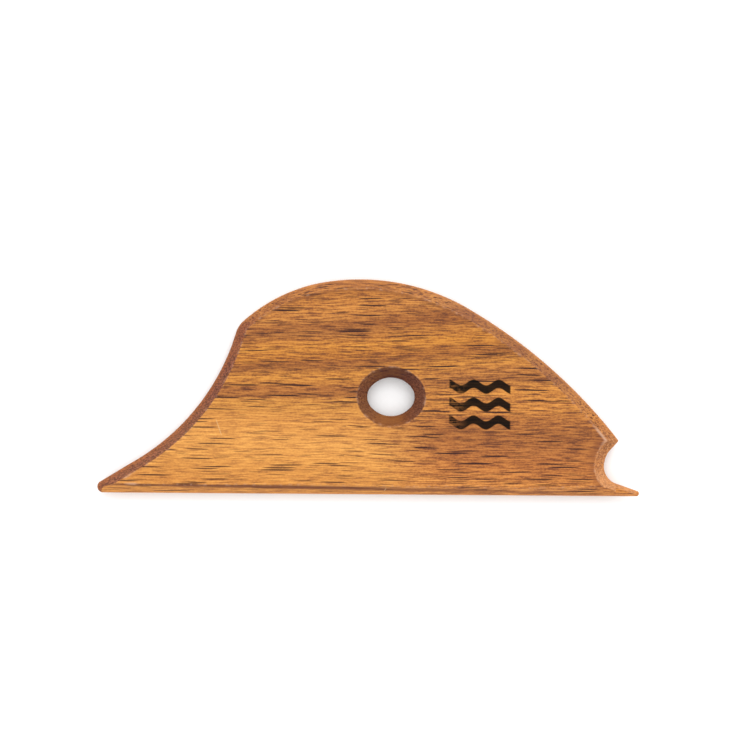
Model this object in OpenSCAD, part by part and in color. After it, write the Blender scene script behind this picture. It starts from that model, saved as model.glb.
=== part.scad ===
// Wooden shaping rib for pottery: one hardwood board with a crowned back, a long tip,
// a hooked spur, an oval finger hole and a 45 degree bevel round every edge on both faces.
// The board lies flat: X runs along the straight edge, Y from it to the crest, Z through
// the thickness. The origin is the middle of the board's footprint, on its lower face.
// Heights are measured from the straight edge; angles are in degrees, anticlockwise from +X.

/* [Board] */
// Overall length, from the long tip to the end of the spur
rib_length = 152; // [136:1:185]
// Height of the crest above the straight edge
rib_height = 60.3; // [54:0.1:74]
// Thickness of the board
board_t = 6.4; // [4:0.1:10]
// Thickness left at the rim, between the two bevels
edge_t = 1; // [0.4:0.1:2]

/* [Crowned back] */
// Offset of the crest from the middle of the length
crest_x = -2.4; // [-6:0.1:2]
// Radius over the crest
crown_r = 61; // [54:0.5:72]
// Tighter radius, from the crown to the shoulder corner
shoulder_r = 46; // [40:0.5:52]
// Flatter radius, from the crown to the heel corner
back_r = 147; // [120:1:200]
// Distance of the shoulder corner from the crest, along the board
shoulder_out = 34.5; // [32:0.1:37]
// Drop of the shoulder corner below the crest
shoulder_drop = 13.4; // [12.5:0.1:16]
// Radius that softens the shoulder corner
shoulder_round = 8; // [2:0.1:10]

/* [Long tip] */
// Angle between the straight edge and the flank of the tip
tip_angle = 31.4; // [27:0.1:37]
// Straight length of the flank, before the hollow side begins
flank_length = 18; // [8:0.1:24]
// Radius of the blunt end of the tip
tip_round = 1.7; // [0.5:0.1:3]

/* [Spur and throat] */
// Angle between the straight edge and the upper side of the spur
spur_angle = 19; // [16:0.1:23]
// Radius of the blunt end of the spur
spur_round = 0.8; // [0.4:0.1:1.2]
// Height of the deepest point of the throat above the straight edge
throat_h = 8.4; // [7:0.1:10]
// Radius of the throat below its deepest point
throat_lower_r = 5.2; // [4:0.1:6.2]
// Radius of the throat above its deepest point
throat_upper_r = 6.9; // [6:0.1:9]
// Angle between the straight edge and the side that climbs to the heel corner
heel_angle = 48; // [40:0.1:58]
// Straight length of that side
heel_length = 3.4; // [1.5:0.1:4]
// Radius that softens the heel corner
heel_round = 0.6; // [0.3:0.1:1]

/* [Finger hole] */
// Offset of the hole from the middle of the length
hole_x = 6.2; // [-20:0.1:20]
// Height of the middle of the hole above the straight edge
hole_y = 27.4; // [18:0.1:36]
// Width of the hole at its narrowest, along the board
hole_w = 13.2; // [12:0.1:18]
// Width of the hole at its narrowest, across the board
hole_h = 10.8; // [7:0.1:11.5]

/* [Hidden] */
$fn = 180;

function heading(v) = atan2(v.y, v.x);
function toward(a) = [cos(a), sin(a)];
// Point at distance ra from p and rb from q, on the left (side 1) or right (side -1) of p to q
function meeting(p, ra, q, rb, side) =
    let (gap = norm(q - p), along = (gap * gap + ra * ra - rb * rb) / (2 * gap),
         across = side * sqrt(ra * ra - along * along), a = heading(q - p))
    p + along * toward(a) + across * toward(a + 90);

bevel = (board_t - edge_t) / 2;
overcut = 1;                       // how far a cut runs on past the wood
lap = 0.03;                        // how far one cut runs into the next, so that they cross cleanly
board_end = rib_length / 2;

// Sharp corners where the flank and the spur would meet the straight edge, and the centres of
// the small arcs that blunt them
tip = [-board_end + tip_round - (tip_round - lap) / tan(tip_angle / 2), 0];
tip_c = tip + (tip_round - lap) * [1 / tan(tip_angle / 2), 1];
spur = [board_end - spur_round + (spur_round - lap) / tan(spur_angle / 2), 0];
spur_c = spur + (spur_round - lap) * [-1 / tan(spur_angle / 2), 1];

// Throat: two arcs that share their deepest point, each with a straight side
lower_inset = throat_lower_r - lap;
lower_c = [spur.x - (throat_h - lower_inset * cos(spur_angle)) / tan(spur_angle)
           + lower_inset * sin(spur_angle), throat_h];
upper_c = lower_c + [throat_upper_r - lower_inset, 0];
spur_root = lower_c + lower_inset * toward(270 - spur_angle);
heel_root = upper_c + (throat_upper_r - lap) * toward(90 + heel_angle);
heel = heel_root + heel_length * toward(heel_angle);

// Crowned back: three tangent arcs through the shoulder corner, the crest and the heel corner
crown_c = [crest_x, rib_height - crown_r];
shoulder = [crest_x - shoulder_out, rib_height - shoulder_drop];
shoulder_c = meeting(crown_c, crown_r - shoulder_r + lap, shoulder, shoulder_r, -1);
back_c = meeting(crown_c, back_r - crown_r + lap, heel, back_r, -1);

// Hollow side: an arc tangent to the flank, through the shoulder corner
hollow_start = tip + flank_length * toward(tip_angle) - lap * toward(tip_angle + 90);
hollow_span = shoulder - hollow_start;
hollow_r = hollow_span * hollow_span / (2 * hollow_span * toward(tip_angle + 90));
hollow_c = hollow_start + hollow_r * toward(tip_angle + 90);

// Centres of the small arcs that soften the shoulder and heel corners
shoulder_soft_c = meeting(shoulder_c, shoulder_r - shoulder_round + lap,
                          hollow_c, hollow_r + shoulder_round - lap, -1);
heel_inset = heel_root + (heel_round - lap) * toward(heel_angle + 90) - back_c;
heel_along = heel_inset * toward(heel_angle);
heel_reach = back_r - heel_round + lap;
heel_run = sqrt(heel_along * heel_along - heel_inset * heel_inset + heel_reach * heel_reach)
           - heel_along;
heel_soft_c = back_c + heel_inset + heel_run * toward(heel_angle);

// Finger hole: two end arcs and two flatter side arcs, tangent to each other
hole_end_r = hole_h * hole_h / hole_w / 2;
hole_end_x = hole_w / 2 - hole_end_r;
hole_side_r = (hole_end_x * hole_end_x + hole_h * hole_h / 4 - hole_end_r * hole_end_r)
              / (hole_h - 2 * hole_end_r);
hole_side_y = hole_side_r - hole_h / 2;
hole_turn = atan2(hole_side_y, hole_end_x);

// Cutter that leaves a bevelled convex edge of radius r, between two angles
module trim_arc(centre, r, from, to, reach) {
    slope = min(r, bevel + overcut);
    pointed = slope < bevel + overcut;
    far = r + reach;
    translate(centre)
        rotate_extrude(angle = to - from, start = from)
            polygon(concat(
                [[r, bevel], [r - slope, bevel - slope]],
                pointed ? [[0, -overcut]] : [],
                [[far, -overcut], [far, board_t + overcut]],
                pointed ? [[0, board_t + overcut]] : [],
                [[r - slope, board_t - bevel + slope], [r, board_t - bevel]]));
}

// Cutter that leaves a bevelled hollow edge of radius r, between two angles
module scoop_arc(centre, r, from = 0, to = 360) {
    flare = r + bevel + overcut;
    translate(centre)
        rotate_extrude(angle = to - from, start = from)
            polygon([[0, -overcut], [flare, -overcut], [r, bevel], [r, board_t - bevel],
                     [flare, board_t + overcut], [0, board_t + overcut]]);
}

// Cutter that leaves a bevelled straight edge and clears the waste on its left
module trim_line(start, angle, length, depth) {
    flare = -bevel - overcut;
    translate(start)
        rotate([90, 0, 90 + angle])
            linear_extrude(length)
                polygon([[0, bevel], [flare, -overcut], [depth, -overcut],
                         [depth, board_t + overcut], [flare, board_t + overcut],
                         [0, board_t - bevel]]);
}

module blank() {
    translate([tip.x - overcut, -overcut, 0])
        cube([spur.x - tip.x + 2 * overcut, rib_height + 2 * overcut, board_t]);
}

module crowned_back_cut() {
    trim_arc(shoulder_c, shoulder_r, heading(shoulder_c - crown_c), heading(hollow_c - shoulder_c),
             rib_length);
    trim_arc(crown_c, crown_r, heading(crown_c - back_c), heading(hollow_c - crown_c), rib_length);
    trim_arc(back_c, back_r, heading(upper_c - back_c), 90, rib_length);
}

module flank_cut() {
    run_out = 4 * bevel;
    trim_line(tip - run_out * toward(tip_angle), tip_angle, flank_length + run_out,
              rib_height + overcut);
}

module hollow_side_cut() {
    scoop_arc(hollow_c, hollow_r);
}

module throat_cut() {
    run_out = 4 * bevel;
    scoop_arc(upper_c, throat_upper_r, 0, 180);
    scoop_arc(lower_c, throat_lower_r);
    trim_line(heel + run_out * toward(heel_angle), heel_angle + 180, heel_length + run_out,
              throat_upper_r);
    trim_line(spur_root, -spur_angle, norm(spur - spur_root) + run_out,
              2 * (throat_upper_r + throat_lower_r));
}

module straight_edge_cut() {
    trim_line([spur.x + 2 * overcut, 0], 180, spur.x - tip.x + 4 * overcut, 2 * overcut);
}

module corner_cuts() {
    corner_reach = 2 * (bevel + overcut);
    trim_arc(tip_c, tip_round, 90 + tip_angle, 270, 2 * corner_reach);
    trim_arc(spur_c, spur_round, -90, 90 - spur_angle, 2 * corner_reach);
    trim_arc(heel_soft_c, heel_round, heel_angle - 90, heading(heel_soft_c - back_c), corner_reach);
    trim_arc(shoulder_soft_c, shoulder_round, heading(shoulder_soft_c - shoulder_c),
             heading(hollow_c - shoulder_soft_c), corner_reach);
}

module finger_hole_cut() {
    translate([hole_x, hole_y, 0])
        for (half_turn = [0, 180]) rotate(half_turn) {
            scoop_arc([hole_end_x, 0], hole_end_r + lap);
            scoop_arc([0, -hole_side_y], hole_side_r, hole_turn, 180 - hole_turn);
        }
}

module shaping_rib() {
    color("peru")
        translate([0, -rib_height / 2, 0])
            difference() {
                blank();
                crowned_back_cut();
                flank_cut();
                hollow_side_cut();
                throat_cut();
                straight_edge_cut();
                corner_cuts();
                finger_hole_cut();
            }
}

shaping_rib();
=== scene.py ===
import math

import bmesh
import bpy
import numpy as np
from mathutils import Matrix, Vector
from mathutils.geometry import delaunay_2d_cdt


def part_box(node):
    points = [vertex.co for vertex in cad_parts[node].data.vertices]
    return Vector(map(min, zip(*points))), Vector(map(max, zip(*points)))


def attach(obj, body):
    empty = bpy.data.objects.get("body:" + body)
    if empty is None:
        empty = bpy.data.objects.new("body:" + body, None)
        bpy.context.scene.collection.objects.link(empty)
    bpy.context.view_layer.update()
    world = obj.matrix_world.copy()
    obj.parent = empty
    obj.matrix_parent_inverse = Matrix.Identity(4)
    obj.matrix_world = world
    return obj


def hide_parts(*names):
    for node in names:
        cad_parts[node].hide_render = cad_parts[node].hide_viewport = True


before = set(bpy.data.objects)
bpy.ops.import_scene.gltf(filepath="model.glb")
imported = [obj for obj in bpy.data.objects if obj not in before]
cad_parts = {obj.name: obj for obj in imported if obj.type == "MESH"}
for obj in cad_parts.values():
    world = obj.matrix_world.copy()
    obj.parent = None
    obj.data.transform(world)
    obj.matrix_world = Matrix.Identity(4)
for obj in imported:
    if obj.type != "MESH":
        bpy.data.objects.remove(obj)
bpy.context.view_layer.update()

# Looks of a wooden shaping rib for pottery, in the CAD model's frame and in metres: X runs
# along the straight edge, Y from it to the crest, Z up through the board's thickness.

MM = 0.001
low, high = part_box("shaping_rib")
THICKNESS = high.z
LENGTH = high.x - low.x
EDGE_Y = low.y                    # the straight edge

# Section of the bevelled edge, going in from the outline
BEVEL = 2.7 * MM                  # width and height of the 45 degree bevel
RIM_ROUND = 0.6 * MM              # wear between the rim and the bevel
ARRIS_ROUND = 0.5 * MM            # wear between the bevel and the face
SLOPE_PARTS = (0.04, 0.35, 0.66, 0.96)  # rings of points up the bevel, as shares of its slope
SAMPLE_STEP = 0.35 * MM           # spacing of points along the outline
GRID_STEP = 3.0 * MM              # spacing of points over the flat of a face
GRID_GAP = 0.8 * MM               # clear space between those and the points along the edges
FLAT_RINGS = (0.15 * MM, 0.9 * MM)  # rings of points on the face, in from the arris
CORNER = math.radians(12)         # a turn sharper than this is a corner
CORNER_RUN = 4.0 * MM             # farthest that a corner moves from one inset to the next
INSET_LEAST = 0.985               # share of its inset that a point keeps from all the outline
SHARP = math.radians(34)          # faces that meet at more than this aren't shaded as one

# Reading the CAD mesh
WELD = 0.002 * MM                 # points closer than this are one point
UPRIGHT = 0.05                    # a face with less of its normal than this upward is upright
SAME_LENGTH = 0.005               # chords that differ in length by less than this share an arc
STRAIGHT = 1e-6                   # a chord that turns by less than this, in radians, is straight

# UV map, in which the board's length is nearly 1
UV_MARGIN = 0.005
UV_LENGTH = 0.99
UV_LOWER_FACE = 0.41              # how far up the strip of the lower face starts
UV_RIM = 0.83                     # the same for the first strip of the rim
UV_RIM_PITCH = 0.03
UV_RIM_HEIGHT = 0.02
RIM_STRIP = LENGTH - 2 * MM       # how much of the rim goes on one strip

# Hand-sanded bevels differ in width: place on the outline, and width there over BEVEL
BEVEL_SPOTS = [
    ((-30 * MM, 24 * MM), 0.88),
    ((-50 * MM, -8 * MM), 1.04),
    ((0 * MM, 30 * MM), 0.95),
    ((35 * MM, 18 * MM), 1.04),
    ((66 * MM, -20 * MM), 1.16),
    ((-50 * MM, -30 * MM), 0.92),
    ((10 * MM, -30 * MM), 0.82),
    ((45 * MM, -30 * MM), 0.78),
    ((-4 * MM, -3 * MM), 1.06),
    ((6 * MM, 5 * MM), 1.20),
    ((17 * MM, -3 * MM), 1.20),
    ((6 * MM, -11 * MM), 0.95),
]
SPOT_REACH = 9 * MM               # how far a spot's width holds before it blends into others


# ---------------------------------------------------------------- shape

def loops_of_rim(node):
    """Closed loops of points where the upright rim meets the upper bevel: outline and hole."""
    mesh = bmesh.new()
    mesh.from_mesh(node.data)
    bmesh.ops.remove_doubles(mesh, verts=mesh.verts, dist=WELD)
    neighbours = {}
    for edge in mesh.edges:
        upright = [abs(face.normal.z) < UPRIGHT for face in edge.link_faces]
        if upright.count(True) != 1 or min(v.co.z for v in edge.verts) < THICKNESS / 2:
            continue
        a, b = edge.verts
        neighbours.setdefault(a, []).append(b)
        neighbours.setdefault(b, []).append(a)
    loops = []
    left = set(neighbours)
    while left:
        at = min(left, key=lambda v: v.index)
        loop = []
        while at is not None:
            left.discard(at)
            loop.append((at.co.x, at.co.y))
            at = next((v for v in neighbours[at] if v in left), None)
        loops.append(np.array(loop))
    mesh.free()
    return sorted(loops, key=len, reverse=True)


def area_of(loop):
    """Area inside the loop, positive where it runs anticlockwise."""
    ahead = np.roll(loop, -1, axis=0)
    return 0.5 * np.sum(loop[:, 0] * ahead[:, 1] - ahead[:, 0] * loop[:, 1])


def arcs_along(loop):
    """Points, directions and wood side normals along the arcs that the loop's chords span."""
    chords = np.roll(loop, -1, axis=0) - loop
    lengths = np.hypot(chords[:, 0], chords[:, 1])
    angles = np.arctan2(chords[:, 1], chords[:, 0])
    turns = (angles - np.roll(angles, 1) + math.pi) % (2 * math.pi) - math.pi
    points = []
    headings = []
    count = len(loop)
    for i in range(count):
        spans = 0.0
        for near, turn in ((i - 1, turns[i]), ((i + 1) % count, turns[(i + 1) % count])):
            if abs(lengths[near] - lengths[i]) < SAME_LENGTH * lengths[i]:
                spans = turn
        steps = max(2, math.ceil(lengths[i] / SAMPLE_STEP))
        for k in range(steps):
            part = (k + 0.5) / steps
            bearing = angles[i] - spans / 2 + part * spans / 2
            run = lengths[i] * part
            if abs(spans) > STRAIGHT:
                run = lengths[i] * math.sin(part * spans / 2) / math.sin(spans / 2)
            points.append(loop[i] + run * np.array([math.cos(bearing), math.sin(bearing)]))
            headings.append(angles[i] - spans / 2 + part * spans)
    headings = np.array(headings)
    along = np.stack([np.cos(headings), np.sin(headings)], axis=1)
    inward = np.stack([-along[:, 1], along[:, 0]], axis=1)
    return np.array(points), along, inward


def bevel_share(points):
    """How wide the bevel is at each point, over BEVEL."""
    spots = np.array([spot for spot, _ in BEVEL_SPOTS])
    shares = np.array([share for _, share in BEVEL_SPOTS])
    gaps = np.linalg.norm(points[:, None, :] - spots[None, :, :], axis=2)
    weights = 1.0 / (gaps ** 2 + SPOT_REACH ** 2)
    return (weights * shares).sum(axis=1) / weights.sum(axis=1)


def section():
    """Insets from the outline and the heights there, from the rim to the flat."""
    rows = []
    rim_z = THICKNESS - BEVEL - math.tan(math.pi / 8) * RIM_ROUND
    for k in range(4):
        a = math.radians(15 * k)
        rows.append((RIM_ROUND * (1 - math.cos(a)), rim_z + RIM_ROUND * math.sin(a)))
    arris_in = BEVEL + math.tan(math.pi / 8) * ARRIS_ROUND
    arris = []
    for k in range(5):
        a = math.radians(45 + 11.25 * k)
        arris.append((arris_in - ARRIS_ROUND * math.cos(a),
                      THICKNESS - ARRIS_ROUND * (1 - math.sin(a))))
    start, end = rows[-1][0], arris[0][0]
    for part in SLOPE_PARTS:
        inset = start + part * (end - start)
        rows.append((inset, THICKNESS - BEVEL + inset))
    rows += arris
    rows += [(arris_in + ring, THICKNESS) for ring in FLAT_RINGS]
    return rows


def mitre(moved, along, i, j):
    """Runs ahead of point i and back from point j to where their directions meet."""
    cross = along[i][0] * along[j][1] - along[i][1] * along[j][0]
    if abs(cross) < math.sin(CORNER) and along[i] @ along[j] > 0:
        return None
    gap = moved[j] - moved[i]
    ahead = (gap[0] * along[j][1] - gap[1] * along[j][0]) / cross
    back = (gap[0] * along[i][1] - gap[1] * along[i][0]) / -cross
    return ahead, back


def inset_loop(points, along, inward, reach, shift):
    """The outline moved in by shift times each point's reach, with its corners mitred."""
    moved = points + inward * (reach * shift)[:, None]
    kept = list(range(len(points)))
    if shift > 0:
        near = np.linalg.norm(moved[:, None, :] - points[None, :, :], axis=2)
        keep = (near >= (INSET_LEAST * shift) * reach[None, :]).all(axis=1)
        kept = [int(i) for i in np.flatnonzero(keep)]
    overrun = {None}
    while overrun:
        overrun = set()
        for i, j in zip(kept, kept[1:] + kept[:1]):
            runs = mitre(moved, along, i, j)
            if runs and runs[0] <= 0:
                overrun.add(i)
            if runs and runs[1] <= 0:
                overrun.add(j)
        kept = [i for i in kept if i not in overrun]
    loop = []
    corners = []
    for i, j in zip(kept, kept[1:] + kept[:1]):
        loop.append(moved[i])
        runs = mitre(moved, along, i, j)
        if runs:
            corners.append(len(loop))
            loop.append(moved[i] + runs[0] * along[i])
    return loop, corners


def inside(points, loop):
    """Which of the points lie inside the loop."""
    a = loop
    b = np.roll(loop, -1, axis=0)
    x = points[:, 0][:, None]
    y = points[:, 1][:, None]
    straddles = (a[None, :, 1] > y) != (b[None, :, 1] > y)
    rise = np.where(np.abs(b[:, 1] - a[:, 1]) < 1e-12, 1e-12, b[:, 1] - a[:, 1])
    crossing = a[None, :, 0] + (y - a[None, :, 1]) * ((b[:, 0] - a[:, 0]) / rise)[None, :]
    return (straddles & (x < crossing)).sum(axis=1) % 2 == 1


class Plan:
    """The face of the board as a flat triangle mesh, each point with its inset and height."""

    def __init__(self, loops):
        self.points = []
        self.insets = []
        self.heights = []
        self.at_hole = []
        self.edges = []
        self.rims = []
        self.samples = []
        for number, loop in enumerate(loops):
            self.add_edge_of(loop, number)
        self.add_grid()
        self.triangulate()

    def add(self, point, inset, height, at_hole=0.0):
        """Adds one point, and gives its number."""
        self.points.append((float(point[0]), float(point[1])))
        self.insets.append(inset)
        self.heights.append(height)
        self.at_hole.append(at_hole)
        return len(self.points) - 1

    def gap(self, a, b):
        return math.dist(self.points[a], self.points[b])

    def add_edge_of(self, loop, number):
        """Rings of points along one rim, from the outline in to the flat."""
        points, along, inward = arcs_along(loop)
        reach = bevel_share(points)
        self.samples.append((points, reach))
        last = []
        for inset, height in section():
            ring, corners = inset_loop(points, along, inward, reach, inset)
            ids = [self.add(p, inset, height, float(number)) for p in ring]
            self.edges += [(a, b) for a, b in zip(ids, ids[1:] + ids[:1])]
            if inset == 0:
                self.rims.append(ids)
            corner_ids = [ids[c] for c in corners]
            for c in corner_ids:
                near = [k for k in last if self.gap(k, c) < CORNER_RUN]
                if near:
                    self.edges.append((min(near, key=lambda k: self.gap(k, c)), c))
            last = corner_ids

    def add_grid(self):
        """Points over the flat of the face, clear of the rings."""
        xs = np.arange(low.x, high.x, GRID_STEP)
        ys = np.arange(low.y, high.y, GRID_STEP)
        grid = np.array([(x, y) for x in xs for y in ys])
        free = np.ones(len(grid), bool)
        for points, reach in self.samples:
            gaps = np.linalg.norm(grid[:, None, :] - points[None, :, :], axis=2) / reach[None, :]
            free &= gaps.min(axis=1) > section()[-1][0] + GRID_GAP
        for p in grid[free & self.on_wood(grid)]:
            self.add(p, section()[-1][0], THICKNESS)

    def on_wood(self, spots):
        """Which spots lie inside the outline and outside the hole."""
        rims = [np.array([self.points[i] for i in ids]) for ids in self.rims]
        return inside(spots, rims[0]) & ~inside(spots, rims[1])

    def triangulate(self):
        """Triangles between all the points, which keep to the rings."""
        flat = [Vector(p) for p in self.points]
        places, _, faces, sources = delaunay_2d_cdt(flat, self.edges, [], 0, 1e-9)[:4]
        was = [s[0] if s else None for s in sources]
        if None in was:
            raise RuntimeError("the inset loops cross")
        centres = np.array([sum((places[i] for i in f), Vector((0, 0))) / 3 for f in faces])
        good = self.on_wood(centres)
        self.faces = [tuple(was[i] for i in f) for f, ok in zip(faces, good) if ok]


def board_mesh(node):
    """Both faces of the board and the rim between them, as one closed mesh."""
    loops = loops_of_rim(node)
    outline = loops[0] if area_of(loops[0]) > 0 else loops[0][::-1]
    hole = loops[1] if area_of(loops[1]) < 0 else loops[1][::-1]
    plan = Plan([outline, hole])
    count = len(plan.points)
    verts = [(x, y, z) for (x, y), z in zip(plan.points, plan.heights)]
    verts += [(x, y, THICKNESS - z) for x, y, z in verts]
    faces = list(plan.faces)
    faces += [tuple(i + count for i in reversed(f)) for f in plan.faces]
    for ids in plan.rims:
        for a, b in zip(ids, ids[1:] + ids[:1]):
            faces.append((a, a + count, b + count, b))
    mesh = bpy.data.meshes.new("board")
    mesh.from_pydata(verts, [], faces)
    mesh.validate()
    inset = mesh.attributes.new("inset", "FLOAT", "POINT")
    inset.data.foreach_set("value", [v / MM for v in plan.insets] * 2)
    at_hole = mesh.attributes.new("at_hole", "FLOAT", "POINT")
    at_hole.data.foreach_set("value", plan.at_hole * 2)
    wrap(mesh, len(plan.faces))
    mesh.shade_smooth()
    mesh.set_sharp_from_angle(angle=SHARP)
    return mesh


def wrap(mesh, face_count):
    """UV map with the upper face, the lower face and the rim in strips, one above another."""
    layer = mesh.uv_layers.new(name="OFBake")
    scale = UV_LENGTH / LENGTH
    run = 0.0
    for number, face in enumerate(mesh.polygons):
        for corner, loop in zip(face.vertices, face.loop_indices):
            x, y, _ = mesh.vertices[corner].co
            u = UV_MARGIN + (x - low.x) * scale
            v = UV_MARGIN + (y - low.y) * scale
            if number >= face_count:
                u = 1 - u
                v += UV_LOWER_FACE
            layer.data[loop].uv = (u, v)
        if number < 2 * face_count:
            continue
        a, _, _, b = [mesh.vertices[i].co for i in face.vertices]
        wide = (b - a).length
        strip = int(run / RIM_STRIP)
        start = run - strip * RIM_STRIP
        lift = UV_RIM + UV_RIM_PITCH * strip
        corners = ((start, UV_RIM_HEIGHT), (start, 0), (start + wide, 0),
                   (start + wide, UV_RIM_HEIGHT))
        for loop, (along, up) in zip(face.loop_indices, corners):
            layer.data[loop].uv = (UV_MARGIN + along * scale, lift + up)
        run += wide


# ---------------------------------------------------------------- wood

LIGHT = 1.50                      # the studio light on a level surface
SHEEN = 0.022                     # how much of it the oiled surface mirrors
DARKEST = 0.002                   # what a colour darker than the sheen still reflects

# Speckled end grain, its dark and its pale colour as they show, from 0 to 255, darkened by painted
# shade
SOAKED_AND_SHADED = ((86, 50, 43), (168, 100, 77))       # steeped in oil and darkened by painted shade, on the long hollow side that faces away from the light
RUBBED_AND_SHADED = ((104, 56, 38), (188, 108, 70))      # the same, worn near the rim
SHADED_SHOULDER = ((112, 58, 38), (178, 106, 70))    # the same with its painted shade, by the shoulder corner
SHADED_HOLE_ENDS = ((92, 54, 42), (136, 86, 64))     # end grain at the two ends of the finger hole, darkened by the hole's painted shade

# Other colours that lie over the wood's own, some of them painted shade and painted highlights
VESSEL = (66, 32, 14)
BACK_END = (150, 96, 70)                      # end grain of the crowned back
DUST_AND_HIGHLIGHT = (238, 174, 122)                        # in the throat, partly a painted highlight on the surfaces that face right
THROAT_SHADE = (132, 76, 54)                         # painted shade beside the throat
# Painted shade in the finger hole: darker where its bevel faces away from the light, lighter where
# it faces it
HOLE_SHADE_CREST_SIDE = (80, 38, 18)
HOLE_SHADE_EDGE_SIDE = (138, 80, 32)
GROWTH_LINE = (116, 64, 34)
CREST_LINE = (136, 82, 50)
# pale wear and painted highlight along the arris
ARRIS_WEAR_AND_HIGHLIGHT = (226, 178, 146)
# pale wear and painted highlight on the rim
RIM_WEAR_AND_HIGHLIGHT = (228, 152, 88)
SCRATCHED = (246, 206, 150)
BURNED = (30, 20, 16)

# Growth bands slope by the first share at the first height in mm, by the second at the second
FAN_HEIGHTS = (14.0, 38.0)
FAN_SLOPES = (-0.05, 0.075)

# Growth bands, as height above the straight edge in mm and the colour there
BAND_SPAN = 60.0
TOP_BANDS = [
    (1.0, (212, 142, 76)), (5.0, (221, 152, 82)), (13.5, (229, 161, 90)),
    (20.0, (219, 150, 82)), (25.0, (203, 138, 72)), (26.6, (196, 130, 69)),
    (27.4, (170, 108, 60)), (29.8, (172, 108, 61)), (31.4, (190, 124, 64)),
    (34.0, (200, 132, 66)), (35.6, (170, 108, 59)), (37.4, (164, 102, 57)),
    (39.0, (186, 118, 58)), (42.4, (200, 131, 63)), (45.0, (184, 118, 62)),
    (46.6, (167, 106, 60)), (48.8, (164, 102, 58)), (50.2, (184, 119, 65)),
    (52.6, (200, 131, 70)), (57.0, (186, 119, 62)), (60.0, (176, 110, 60)),
]
RIGHT_BANDS = [
    (1.0, (206, 134, 74)), (5.0, (204, 132, 72)), (8.5, (190, 119, 66)),
    (12.0, (184, 114, 64)), (15.5, (174, 108, 62)), (19.0, (166, 103, 59)),
    (22.0, (182, 115, 64)), (24.5, (203, 133, 70)), (28.5, (206, 136, 70)),
    (30.2, (172, 110, 62)), (32.0, (186, 120, 66)), (34.6, (200, 132, 66)),
    (36.4, (184, 119, 60)), (38.0, (164, 102, 56)), (39.8, (180, 114, 58)),
    (43.0, (196, 127, 60)), (45.5, (186, 120, 62)), (48.0, (170, 106, 58)),
    (50.0, (166, 103, 58)), (53.0, (192, 126, 70)), (60.0, (176, 110, 60)),
]

# Streaks, from dark to pale, as shares of the bands' red, green and blue
STREAKS = [
    (0.0, (0.46, 0.36, 0.36, 1)), (0.5, (1.09, 1.06, 0.87, 1)), (1.0, (1.53, 1.70, 1.6, 1)),
]

# Where a feature fades in: from the first height above the straight edge to the second, in mm
SHOULDER_ZONE = (37.0, 42.0)
ABOVE_SHOULDER = (45.0, 52.0)
CREST_ZONE = (44.0, 52.0)
BACK_ZONE = (19.0, 30.0)
THROAT_ZONE = (22.0, 14.0)
SPUR_ZONE = (9.0, 5.0)
EDGE_ZONE = (5.0, 4.0)

# The same by inset from the rim, in mm
FACE_ZONE = (2.6, 2.9)
HOLE_ZONE = (2.95, 2.6)

# Places, in mm: the painted shade beside the throat, corners with how far they are rubbed pale and
# given a painted highlight, and the ends of scratches
THROAT_SHADE_AT = (72.0, -20.5, 6.4)
WORN_HIGHLIGHT_CORNERS = [((65.4, -12.6, 6.4), 4.6), ((-66.0, -26.6, 6.4), 2.6)]
SCRATCHES = [((-42.6, -9.4), (-41.0, -13.9)), ((4.4, -29.2), (5.1, -28.2))]

# Burned mark in mm: its middle, its waves, and where it fades out, going out from the middle
MARK_X = 31.0
MARK_Y = -4.7
WAVE_LENGTH = 7.0
WAVE_RISE = 0.8
WAVE_SPACING = 5.0
STROKE_SIDE = (1.0, 1.4)
MARK_SIDE = (8.3, 8.8)
MARK_TOP = (7.0, 7.4)


def paint(red, green, blue):
    """Base colour that shows as this 0 to 255 colour under the studio light."""
    shown = []
    for value in (red, green, blue):
        value /= 255
        value = value / 12.92 if value <= 0.04045 else ((value + 0.055) / 1.055) ** 2.4
        shown.append(max(value - SHEEN, DARKEST) / LIGHT)
    return (*shown, 1.0)


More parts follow.
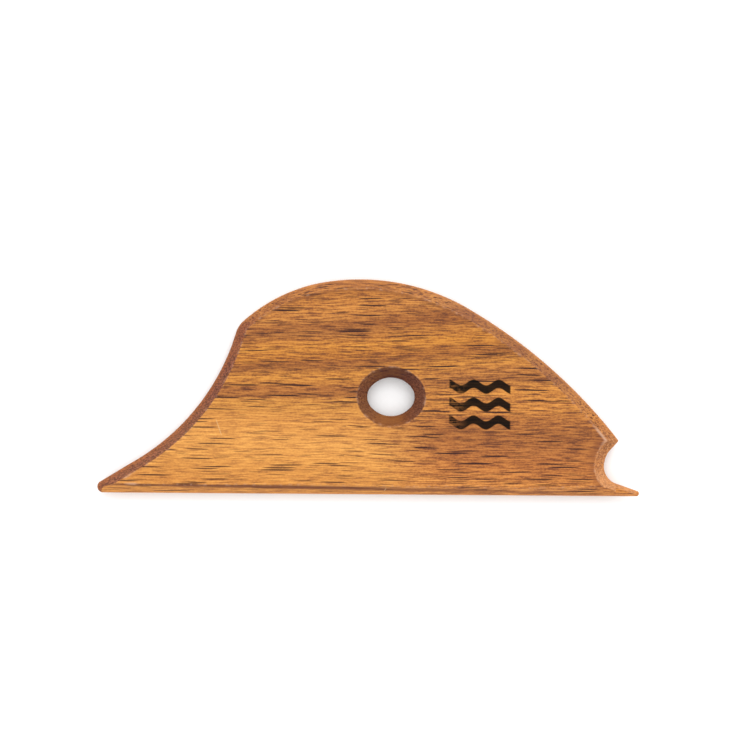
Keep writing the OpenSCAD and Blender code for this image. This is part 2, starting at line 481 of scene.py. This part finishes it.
class Graph:
    """Adds the nodes of one material and links them."""

    def __init__(self, name):
        self.material = bpy.data.materials.new(name)
        self.material.use_nodes = True
        self.tree = self.material.node_tree
        self.tree.nodes.clear()

    def node(self, kind, inputs=None, **settings):
        made = self.tree.nodes.new(kind)
        for key, value in settings.items():
            setattr(made, key, value)
        for key, value in (inputs or {}).items():
            self.feed(made.inputs[key], value)
        return made

    def feed(self, socket, value):
        if isinstance(value, bpy.types.NodeSocket):
            self.tree.links.new(value, socket)
        else:
            socket.default_value = value

    def math(self, operation, a, b=0.0, c=0.0, clamp=False):
        made = self.node("ShaderNodeMath", {0: a, 1: b, 2: c}, operation=operation)
        made.use_clamp = clamp
        return made.outputs[0]

    def times(self, first, *others):
        """The product of all the values."""
        for other in others:
            first = self.math("MULTIPLY", first, other)
        return first

    def line(self, value, slope, start, clamp=False):
        """Value times slope, plus start."""
        return self.math("MULTIPLY_ADD", value, slope, start, clamp)

    def without(self, value):
        """1 minus the value."""
        return self.math("SUBTRACT", 1.0, value)

    def step(self, value, start, end):
        """0 up to start, 1 from end on, with a smooth rise between."""
        made = self.node("ShaderNodeMapRange", {0: value, 1: start, 2: end},
                         interpolation_type="SMOOTHSTEP")
        return made.outputs[0]

    def vector(self, operation, a, b):
        return self.node("ShaderNodeVectorMath", {0: a, 1: b}, operation=operation)

    def distance(self, place, spot):
        return self.vector("DISTANCE", place, spot).outputs["Value"]

    def join(self, x, y, z):
        return self.node("ShaderNodeCombineXYZ", {0: x, 1: y, 2: z}).outputs[0]

    def parts(self, vector):
        return self.node("ShaderNodeSeparateXYZ", {0: vector}).outputs

    def channels(self, colour):
        return self.node("ShaderNodeSeparateColor", {0: colour}).outputs

    def attribute(self, name):
        return self.node("ShaderNodeAttribute", attribute_name=name).outputs["Fac"]

    def mix(self, factor, a, b, blend="MIX"):
        made = self.node("ShaderNodeMix", data_type="RGBA", blend_type=blend)
        self.feed(made.inputs[0], factor)
        self.feed(made.inputs[6], a)
        self.feed(made.inputs[7], b)
        return made.outputs[2]

    def noise(self, place, detail=2.0, rough=0.5, size=1.0):
        made = self.node("ShaderNodeTexNoise", {"Vector": place, "Scale": size, "Detail": detail,
                                                "Roughness": rough})
        return made.outputs["Fac"]

    def ramp(self, value, stops):
        made = self.node("ShaderNodeValToRGB", {0: value})
        bar = made.color_ramp
        while len(bar.elements) > 1:
            bar.elements.remove(bar.elements[-1])
        bar.elements[0].position = stops[0][0]
        bar.elements[0].color = stops[0][1]
        for position, colour in stops[1:]:
            bar.elements.new(position).color = colour
        return made.outputs[0]

    def surface(self, inputs):
        """The material's one shader, from its inputs."""
        shader = self.node("ShaderNodeBsdfPrincipled", inputs)
        self.node("ShaderNodeOutputMaterial", {0: shader.outputs[0]})


class Wood(Graph):
    """Oiled open-pored hardwood with straight grain along X. Places and sizes are in mm."""

    def __init__(self):
        super().__init__("oiled_hardwood")
        self.read_surface()
        self.sway_grain()
        self.lay_growth_bands()
        self.lay_streaks()
        self.lay_vessels()
        self.lay_shaded_left_end()
        self.lay_back_end()
        self.lay_throat_dust_and_highlight()
        self.lay_throat_shade()
        self.lay_hole_shade()
        self.lay_growth_line()
        self.lay_crest_line()
        self.lay_arris_wear_and_highlight()
        self.lay_rim_wear_and_highlight()
        self.lay_scratches()
        self.lay_burned_mark()
        self.make_surface()

    def cover(self, share, colour, most=1.0):
        """Lays another colour, by share and at most this much, over what the wood has so far."""
        if most < 1.0:
            share = self.times(share, most)
        self.colour = self.mix(share, self.colour, colour)

    def grain(self, across, along_rate, across_rate, detail=2.0, rough=0.5):
        """Noise drawn out along the grain, which changes at these rates per mm."""
        place = self.join(self.times(self.x, along_rate), self.times(across, across_rate),
                          self.times(self.z, across_rate))
        return self.noise(place, detail, rough)

    def read_surface(self):
        """Place, the way the surface faces, inset from the rim, and two fine noises."""
        texture = self.node("ShaderNodeTexCoord")
        scaled = self.vector("MULTIPLY", texture.outputs["Object"], (1 / MM, 1 / MM, 1 / MM))
        self.place = scaled.outputs[0]
        self.x, self.y, self.z = self.parts(self.place)
        self.height = self.math("SUBTRACT", self.y, EDGE_Y / MM)
        self.to_right, self.to_back, self.to_top = self.parts(texture.outputs["Normal"])
        self.inset = self.attribute("inset")
        self.fleck = self.grain(self.y, 1.5, 2.6, rough=0.7)
        self.speckle = self.step(self.fleck, 0.35, 0.68)
        self.rub = self.grain(self.y, 0.8, 0.8, detail=3.0)

    def sway(self, height, slow_reach, quick_reach):
        """A height, as the wandering grain moves it."""
        height = self.line(self.math("SUBTRACT", self.slow, 0.5), slow_reach, height)
        return self.line(self.math("SUBTRACT", self.quick, 0.5), quick_reach, height)

    def sway_grain(self):
        """The grain wanders a little, and its bands fan out towards the right."""
        self.slow = self.grain(self.y, 0.016, 0.05, detail=1.0)
        self.quick = self.grain(self.y, 0.05, 0.25)
        tilt = self.node("ShaderNodeMapRange",
                         {0: self.height, 1: FAN_HEIGHTS[0], 2: FAN_HEIGHTS[1],
                          3: FAN_SLOPES[0], 4: FAN_SLOPES[1]}).outputs[0]
        fanned = self.math("SUBTRACT", self.height, self.times(self.x, tilt))
        self.level = self.sway(fanned, 4.0, 0.7)
        self.thread = self.sway(self.height, 2.5, 0.45)

    def bands(self, stops):
        return self.ramp(self.math("DIVIDE", self.level, BAND_SPAN),
                         [(mm / BAND_SPAN, paint(*colour)) for mm, colour in stops])

    def lay_growth_bands(self):
        """Bands paler on the left and redder on the right; dark ones are open early wood."""
        rightward = self.step(self.line(self.slow, 24.0, self.x), 8.0, 40.0)
        self.colour = self.mix(rightward, self.bands(TOP_BANDS), self.bands(RIGHT_BANDS))
        self.open_wood = self.step(self.channels(self.colour)[1], 0.20, 0.10)
        self.lively = self.math("MAXIMUM", self.math("MAXIMUM", self.open_wood, rightward),
                                self.step(self.level, 20.0, 30.0))

    def lay_streaks(self):
        """Streaks along the grain, from broad ones to single fibres."""
        self.broad = self.grain(self.level, 0.022, 0.55, detail=3.0, rough=0.6)
        self.fibre = self.grain(self.thread, 0.07, 1.7, rough=0.6)
        hair = self.grain(self.thread, 0.22, 2.8, detail=1.0)
        tone = self.line(self.broad, 0.5, -0.25)
        for layer, share in ((self.fibre, 0.75), (hair, 1.3), (self.fleck, 0.8)):
            tone = self.math("ADD", tone, self.line(layer, share, -share / 2))
        tone = self.times(tone, self.line(self.lively, 0.85, 0.85))
        streak = self.ramp(self.math("ADD", tone, 0.5), STREAKS)
        self.colour = self.mix(1.0, self.colour, streak, "MULTIPLY")

    def vessels(self, share, length, width, fat, spread, least):
        """Darkness of one kind of vessel: stretched cells, of which a share holds a line.

        A line fills its cell by fat, and its darkness lies between least and least + spread.
        """
        place = self.join(self.math("DIVIDE", self.x, length),
                          self.math("DIVIDE", self.thread, width),
                          self.math("DIVIDE", self.z, width))
        cells = self.node("ShaderNodeTexVoronoi",
                          {"Vector": place, "Scale": 1.0, "Randomness": 1.0}, feature="F1")
        draw = self.channels(cells.outputs["Color"])
        present = self.math("LESS_THAN", draw[0], share)
        reach = self.line(draw[1], 0.6 * fat, 0.55 * fat)
        edge = self.math("DIVIDE", cells.outputs["Distance"], reach)
        body = self.without(self.step(edge, 0.7, 1.0))
        return self.times(self.times(body, present), self.line(draw[2], spread, least))

    def lay_vessels(self):
        """Long and short vessel lines, more of them in open wood and fewer in the throat."""
        share = self.line(self.broad, 1.0, 0.28)
        share = self.line(self.open_wood, 0.25, share)
        share = self.line(self.lively, 0.12, share)
        long = self.vessels(share, length=17.0, width=0.72, fat=0.31, spread=0.25, least=0.75)
        short = self.vessels(share, length=9.0, width=0.52, fat=0.32, spread=0.55, least=0.35)
        self.pore = self.math("MAXIMUM", long, short)
        self.in_throat = self.times(self.step(self.to_right, 0.05, 0.3),
                                    self.step(self.height, *THROAT_ZONE))
        self.pore = self.times(self.pore, self.line(self.lively, 0.15, 0.85),
                               self.line(self.in_throat, -0.55, 1.0))
        self.cover(self.pore, paint(*VESSEL))

    def speckled(self, colours):
        dark, pale = colours
        return self.mix(self.speckle, paint(*dark), paint(*pale))

    def lay_shaded_left_end(self):
        """End grain of the hollow side, which soaks up the most oil, darkened further by painted
        shade on the surfaces that face left, away from the light; fainter up the back.
        """
        self.shaded_left_end = self.times(self.step(self.times(self.to_right, -1.0), 0.1, 0.4),
                                   self.line(self.step(self.height, *ABOVE_SHOULDER), -0.6, 1.0))
        end = self.mix(self.step(self.inset, 1.5, 0.7), self.speckled(SOAKED_AND_SHADED),
                       self.speckled(RUBBED_AND_SHADED))
        end = self.mix(self.step(self.height, *SHOULDER_ZONE), end, self.speckled(SHADED_SHOULDER))
        self.cover(self.shaded_left_end, end, most=0.88)

    def lay_back_end(self):
        """End grain of the crowned back, to the right of the crest."""
        share = self.times(self.step(self.to_back, 0.15, 0.4), self.step(self.to_right, 0.1, 0.4),
                           self.step(self.height, *BACK_ZONE))
        self.cover(share, paint(*BACK_END), most=0.5)

    def lay_throat_dust_and_highlight(self):
        """Pale dust in the throat, most on the spur, which is also a painted highlight on the
        surfaces that face right, towards the light.
        """
        dust_and_highlight_share = self.line(self.step(self.height, *SPUR_ZONE), 0.25, 0.05)
        dust_and_highlight_share = self.line(self.step(self.fleck, 0.42, 0.7), 0.55, dust_and_highlight_share)
        self.cover(self.times(self.in_throat, dust_and_highlight_share), paint(*DUST_AND_HIGHLIGHT))

    def lay_throat_shade(self):
        """Painted shade: a reddish darkening on the face beside the throat."""
        near = self.step(self.distance(self.place, THROAT_SHADE_AT), 11.5, 9.0)
        share = self.times(near, self.step(self.inset, *FACE_ZONE), self.step(self.fleck, 0.3, 0.6))
        self.cover(share, paint(*THROAT_SHADE), most=0.5)

    def lay_hole_shade(self):
        """Painted shade in the finger hole: its bevel and wall darkened, darkest on the crest side
        that faces away from the light and less on the side that faces it, with end grain at its two
        ends.
        """
        self.in_hole = self.times(self.attribute("at_hole"), self.step(self.inset, *HOLE_ZONE))
        self.end_grain = self.step(self.math("ABSOLUTE", self.to_right), 0.12, 0.6)
        inner = self.mix(self.step(self.to_back, -0.5, 0.6), paint(*HOLE_SHADE_CREST_SIDE),
                         paint(*HOLE_SHADE_EDGE_SIDE))
        inner = self.mix(self.end_grain, inner, self.speckled(SHADED_HOLE_ENDS))
        self.cover(self.in_hole, inner, most=0.82)

    def lay_growth_line(self):
        """A dark growth line comes out along the bevel of the straight edge."""
        on_bevel = self.times(self.step(self.to_back, -0.3, -0.6),
                              self.step(self.height, *EDGE_ZONE))
        line_at = self.line(self.x, -0.0135, 1.8)
        off_line = self.math("ABSOLUTE", self.math("SUBTRACT", self.inset, line_at))
        on_line = self.times(self.step(off_line, 0.85, 0.1),
                             self.step(self.line(self.slow, 60.0, self.x), 130.0, 10.0))
        self.cover(self.times(on_bevel, on_line), paint(*GROWTH_LINE), most=0.88)

    def lay_crest_line(self):
        """Polish left a dark line just inside the arris of the crest."""
        share = self.times(self.step(self.inset, *FACE_ZONE), self.step(self.inset, 3.8, 3.2),
                           self.step(self.height, *CREST_ZONE))
        self.cover(share, paint(*CREST_LINE), most=0.5)

    def lay_arris_wear_and_highlight(self):
        """The arris between bevel and face is rubbed pale here and there, and at two corners, and
        this paleness is also a painted highlight along the arris.
        """
        off_arris = self.math("ABSOLUTE", self.math("SUBTRACT", self.inset, BEVEL / MM))
        near_corner = 0.0
        for corner, reach in WORN_HIGHLIGHT_CORNERS:
            near = self.step(self.distance(self.place, corner), reach, 0.6)
            near_corner = self.math("ADD", near, near_corner)
        wear_and_highlight = self.line(self.step(self.rub, 0.45, 0.75), 0.5, near_corner, clamp=True)
        share = self.times(self.without(self.step(off_arris, 0.0, 0.6)), wear_and_highlight)
        self.cover(share, paint(*ARRIS_WEAR_AND_HIGHLIGHT), most=0.8)

    def lay_rim_wear_and_highlight(self):
        """The rim of the outline is worn paler and carries a painted highlight, except on the
        soaked, shaded hollow side and in the finger hole.
        """
        share = self.times(self.without(self.step(self.inset, 0.12, 0.75)),
                           self.line(self.shaded_left_end, -0.7, 1.0), self.without(self.in_hole))
        self.cover(share, paint(*RIM_WEAR_AND_HIGHLIGHT), most=0.5)

    def scratch(self, start, end):
        """1 on a fine straight scratch between two places, 0 off it."""
        run = (end[0] - start[0], end[1] - start[1])
        length = math.hypot(*run)
        ahead = (run[0] / length, run[1] / length)
        from_x = self.math("SUBTRACT", self.x, start[0])
        from_y = self.math("SUBTRACT", self.y, start[1])
        along = self.line(from_x, ahead[0], self.times(from_y, ahead[1]))
        aside = self.line(from_x, -ahead[1], self.times(from_y, ahead[0]))
        beyond = self.math("ABSOLUTE", self.math("SUBTRACT", along, length / 2))
        return self.times(self.step(beyond, length / 2, length / 2 - 0.3),
                          self.step(self.math("ABSOLUTE", aside), 0.16, 0.05))

    def lay_scratches(self):
        """Handling marks: a scratch on the face and a nick in the bevel of the straight edge."""
        on_face, on_bevel = [self.scratch(*ends) for ends in SCRATCHES]
        share = self.math("MAXIMUM", on_face, on_bevel)
        self.cover(share, paint(*SCRATCHED), most=0.5)

    def stamp(self):
        """Plain mark of three wavy strokes, where the maker's burned mark would be."""
        across = self.math("SUBTRACT", self.x, MARK_X)
        up = self.math("SUBTRACT", self.y, MARK_Y)
        wave = self.math("SINE", self.times(across, 2 * math.pi / WAVE_LENGTH))
        flat = self.line(wave, WAVE_RISE, up)
        row = self.math("ABSOLUTE", self.math("WRAP", flat, -WAVE_SPACING / 2, WAVE_SPACING / 2))
        stroke = self.without(self.step(row, *STROKE_SIDE))
        wide = self.without(self.step(self.math("ABSOLUTE", across), *MARK_SIDE))
        tall = self.without(self.step(self.math("ABSOLUTE", flat), *MARK_TOP))
        return self.times(stroke, wide, tall)

    def lay_burned_mark(self):
        """Burned mark on the upper face, worn at its left end where the grain is open."""
        on_top = self.step(self.to_top, 0.9, 0.98)
        whole = self.step(self.line(self.fibre, 0.6, self.times(self.rub, 0.5)), 0.62, 0.48)
        whole = self.math("MAXIMUM", whole, self.step(self.x, 24.0, 28.0))
        self.burn = self.times(self.stamp(), on_top, self.line(whole, 0.27, 0.7))
        self.cover(self.burn, paint(*BURNED))

    def make_surface(self):
        """Open vessels are rough hollows, and the burned mark is matt."""
        relief = self.line(self.pore, -1.0, self.times(self.fibre, 0.35))
        relief = self.line(self.fleck, 0.12, relief)
        bump = self.node("ShaderNodeBump",
                         {"Strength": 0.7, "Distance": 0.09 * MM, "Height": relief})
        rough = self.line(self.fibre, 0.16, 0.46)
        rough = self.line(self.pore, 0.22, rough)
        rough = self.line(self.end_grain, 0.1, rough)
        self.surface({"Base Color": self.colour, "Roughness": rough,
                      "Specular IOR Level": self.line(self.burn, -0.25, 0.3),
                      "Normal": bump.outputs[0]})


def make_board():
    """The one piece, which stands for the CAD solid."""
    mesh = board_mesh(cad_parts["shaping_rib"])
    board = bpy.data.objects.new("hardwood_board", mesh)
    bpy.context.collection.objects.link(board)
    mesh.materials.append(Wood().material)
    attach(board, "root")
    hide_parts("shaping_rib")


# ---------------------------------------------------------------- studio

FLOOR_REACH = 6.0                 # from its middle to each side
FLOOR_TONES = ((0.90, 0.90, 0.90, 1), (0.93, 0.93, 0.93, 1))
FLOOR_GRAIN = 900.0               # how finely it is mottled, per metre
WORLD_STRENGTH = 1.34
KEY_PLACE = (0.2, 0.9, 0.75)
KEY_SIZE = 1.0
KEY_POWER = 5.5                   # W

LENS = 100.0                      # mm
SENSOR = 36.0                     # mm
VIEW_WIDTH = 210.5 * MM           # what the picture spans at half the board's thickness
VIEW_X = 1.68 * MM                # the middle of the picture
VIEW_Y = 3.34 * MM
VIEW_TURN = math.radians(0.4242)
VIEW_REACH = 20.0                 # farthest that the camera sees


def make_floor():
    mesh = bpy.data.meshes.new("floor")
    far = FLOOR_REACH
    mesh.from_pydata([(-far, -far, 0), (far, -far, 0), (far, far, 0), (-far, far, 0)], [],
                     [(0, 1, 2, 3)])
    floor = bpy.data.objects.new("floor", mesh)
    bpy.context.collection.objects.link(floor)
    graph = Graph("pale_floor")
    place = graph.node("ShaderNodeTexCoord").outputs["Object"]
    grain = graph.noise(place, detail=3.0, size=FLOOR_GRAIN)
    tone = graph.mix(grain, *FLOOR_TONES)
    graph.surface({"Base Color": tone, "Roughness": 0.8, "Specular IOR Level": 0.1})
    mesh.materials.append(graph.material)


def make_world():
    world = bpy.data.worlds.new("studio")
    world.use_nodes = True
    back = world.node_tree.nodes["Background"]
    back.inputs[0].default_value = (1.0, 1.0, 1.0, 1.0)
    back.inputs[1].default_value = WORLD_STRENGTH
    bpy.context.scene.world = world


def area_light(name, place, size, power):
    """Square soft light at place, aimed at the middle of the board."""
    data = bpy.data.lights.new(name, "AREA")
    data.shape = "SQUARE"
    data.size = size
    data.energy = power
    lamp = bpy.data.objects.new(name, data)
    bpy.context.collection.objects.link(lamp)
    lamp.location = place
    lamp.rotation_euler = (-Vector(place)).to_track_quat("-Z", "Y").to_euler()


def make_camera():
    """Straight above the board, turned a little so that the straight edge isn't quite level."""
    data = bpy.data.cameras.new("camera")
    data.lens = LENS
    data.sensor_width = SENSOR
    data.clip_end = VIEW_REACH
    camera = bpy.data.objects.new("camera", data)
    bpy.context.collection.objects.link(camera)
    camera.location = (VIEW_X, VIEW_Y, THICKNESS / 2 + VIEW_WIDTH * LENS / SENSOR)
    camera.rotation_euler = (0.0, 0.0, VIEW_TURN)
    bpy.context.scene.camera = camera


make_camera()
make_board()
make_floor()
make_world()
area_light("key", KEY_PLACE, KEY_SIZE, KEY_POWER)
bpy.context.scene.view_settings.view_transform = "Standard"
